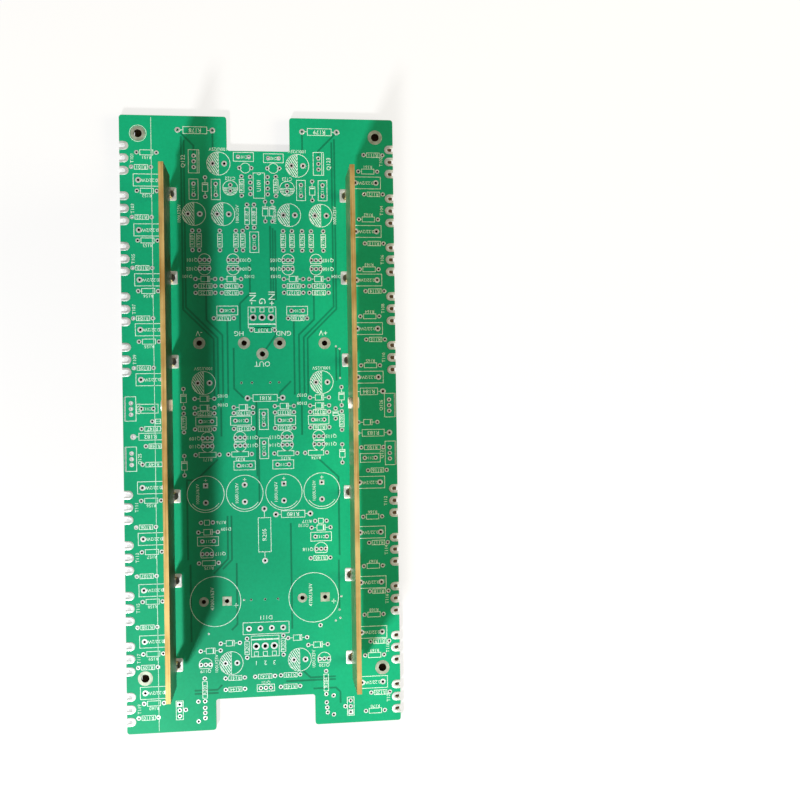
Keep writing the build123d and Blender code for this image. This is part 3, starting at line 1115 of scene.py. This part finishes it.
# Bar solder: smooth hand-made joints under the board, where the tails of the bars come through.
# These are the modelled joints themselves, in a material of their own.
def smooth_solder():
    """Hand-made solder: bright grey metal with a soft shine and a slightly rippled skin."""
    material, tree, shader, place = new_finish("smooth_solder")
    ripple = add_node(tree, "ShaderNodeTexNoise", {"Vector": place, "Scale": 1 / (1.5 * mm), "Detail": 2.0})
    bump = add_node(
        tree, "ShaderNodeBump", {"Strength": 0.3, "Distance": 0.1 * mm, "Height": ripple.outputs["Fac"]}
    )
    tree.links.new(bump.outputs["Normal"], shader.inputs["Normal"])
    shader.inputs["Base Color"].default_value = hex_colour("#c9c9c6")
    shader.inputs["Metallic"].default_value = 1.0
    shader.inputs["Roughness"].default_value = 0.28
    return material


solder = smooth_solder()
for node in ("left_bar_solder", "right_bar_solder"):
    joint_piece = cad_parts[node]
    joint_piece.data.materials.clear()
    joint_piece.data.materials.append(solder)

# Floor: a plain white sheet that the board's tails stand on. It is not part of the object.
# The camera and the metal see mostly the sheet's own white, with a soft shadow on it.
sheet_size = 6.0
sheet_white = 0.75


def direct_sight(tree):
    """One for rays that come from the camera, from shiny metal or through clear things, or else zero."""
    ray = add_node(tree, "ShaderNodeLightPath").outputs
    sight = 0.0
    for kind in ("Is Camera Ray", "Is Glossy Ray", "Is Transmission Ray"):
        sight = add_node(tree, "ShaderNodeMath", {0: sight, 1: ray[kind]}, operation="MAXIMUM").outputs[0]
    return sight


bpy.ops.object.select_all(action="DESELECT")
bpy.ops.mesh.primitive_plane_add(size=sheet_size, location=(0.0, 0.0, 0.0))
floor = bpy.context.active_object
floor.name = "floor"
paper, paper_tree, paper_shader, _ = new_finish("white_paper")
paper_shader.inputs["Base Color"].default_value = hex_colour("#f4f4f2")
paper_shader.inputs["Roughness"].default_value = 1.0
paper_shader.inputs["Specular IOR Level"].default_value = 0.0
seen = direct_sight(paper_tree)
share = add_node(paper_tree, "ShaderNodeMath", {0: seen, 1: sheet_white}, operation="MULTIPLY")
glow = add_node(paper_tree, "ShaderNodeEmission", {"Strength": 1.0})
blend = add_node(
    paper_tree,
    "ShaderNodeMixShader",
    {0: share.outputs[0], 1: paper_shader.outputs[0], 2: glow.outputs[0]},
)
paper_tree.links.new(blend.outputs[0], paper_tree.nodes["Material Output"].inputs["Surface"])
floor.data.materials.append(paper)

# Painted shade: a dark sheet laid on the floor under the board, where only the board's shade falls, so that
# it is seen through the board's holes and makes them look dark.
# It is not part of the object. It is cut back from the board's edges and notches, so that it stays hidden.
shade_sheet_bottom, shade_sheet_top = 0.01, 0.05
shade_sheet_left, shade_sheet_right = -53.6, 59.7
middle_low, middle_high = -118.5, 117.0
outer_low, outer_high = -132.0, 132.0
low_notch, high_notch = 23.5, 16.0
shade_sheet_outline = [
    (shade_sheet_left, outer_low),
    (-low_notch, outer_low),
    (-low_notch, middle_low),
    (low_notch, middle_low),
    (low_notch, outer_low),
    (shade_sheet_right, outer_low),
    (shade_sheet_right, outer_high),
    (high_notch, outer_high),
    (high_notch, middle_high),
    (-high_notch, middle_high),
    (-high_notch, outer_high),
    (shade_sheet_left, outer_high),
]
# Its dark brown colour is painted shade, for the shade under the board.
shade_sheet_finish, _, shade_sheet_shader, _ = new_finish("painted_shade_under_board")
shade_sheet_shader.inputs["Base Color"].default_value = hex_colour("#5a4630")
shade_sheet_shader.inputs["Roughness"].default_value = 1.0
painted_shade_sheet = cut_plate("painted_shade_sheet", [shade_sheet_outline], shade_sheet_bottom, shade_sheet_top)
painted_shade_sheet.data.materials.append(shade_sheet_finish)


# Light: a low cool window to the lower left, a warm wall low on the right, and a room that is dark overhead.
# Seen directly, the walls of the room are a plain pale backdrop.
def soft_light(name, place, width, height, power, colour):
    """A rectangular lamp that faces the middle of the board."""
    lamp = bpy.data.lights.new(name, "AREA")
    lamp.shape = "RECTANGLE"
    lamp.size = width
    lamp.size_y = height
    lamp.energy = power
    lamp.color = hex_colour(colour)[:3]
    holder = bpy.data.objects.new(name, lamp)
    holder.location = place
    holder.rotation_euler = (-Vector(place)).to_track_quat("-Z", "Y").to_euler()
    bpy.context.collection.objects.link(holder)


soft_light("window", place=(-0.342, -0.68, 0.58), width=0.11, height=0.10, power=11.7, colour="#fbfcff")
soft_light("warm_wall", place=(1.0, 0.1, 0.33), width=0.7, height=0.35, power=12.0, colour="#fff0cc")
world = bpy.data.worlds.new("dim_room")
bpy.context.scene.world = world
world.use_nodes = True
room = world.node_tree
room_light = room.nodes["Background"]
way = add_node(room, "ShaderNodeTexCoord").outputs["Generated"]
height = add_node(room, "ShaderNodeSeparateXYZ", {"Vector": way}).outputs["Z"]
dark_overhead = {"Value": height, "From Min": 0.4, "From Max": 0.85, "To Max": 0.12}
walls = add_node(room, "ShaderNodeMapRange", {**dark_overhead, "To Min": 0.6})
room_light.inputs["Color"].default_value = hex_colour("#fff3dc")
room.links.new(walls.outputs["Result"], room_light.inputs["Strength"])
pale_walls = add_node(room, "ShaderNodeMapRange", {**dark_overhead, "To Min": 1.0})
backdrop = add_node(
    room, "ShaderNodeBackground", {"Color": hex_colour("#fafaf8"), "Strength": pale_walls.outputs["Result"]}
)
scenery = add_node(
    room,
    "ShaderNodeMixShader",
    {0: direct_sight(room), 1: room_light.outputs[0], 2: backdrop.outputs[0]},
)
room.links.new(scenery.outputs[0], room.nodes["World Output"].inputs["Surface"])

# Camera: looks down on the board from over its middle, turned a little to the right, as in the photograph.
# Its place is in millimetres and its turns are in degrees.
camera_place = (5.307, 8.429, 449.83)
camera_turns = (0.168, -7.187, -0.832)
lens = bpy.data.cameras.new("camera")
lens.lens = 45.0
lens.sensor_width = 36.0
camera = bpy.data.objects.new("camera", lens)
camera.location = [distance * mm for distance in camera_place]
camera.rotation_euler = [math.radians(turn) for turn in camera_turns]
bpy.context.collection.objects.link(camera)
bpy.context.scene.camera = camera
bpy.context.scene.view_settings.view_transform = "Standard"
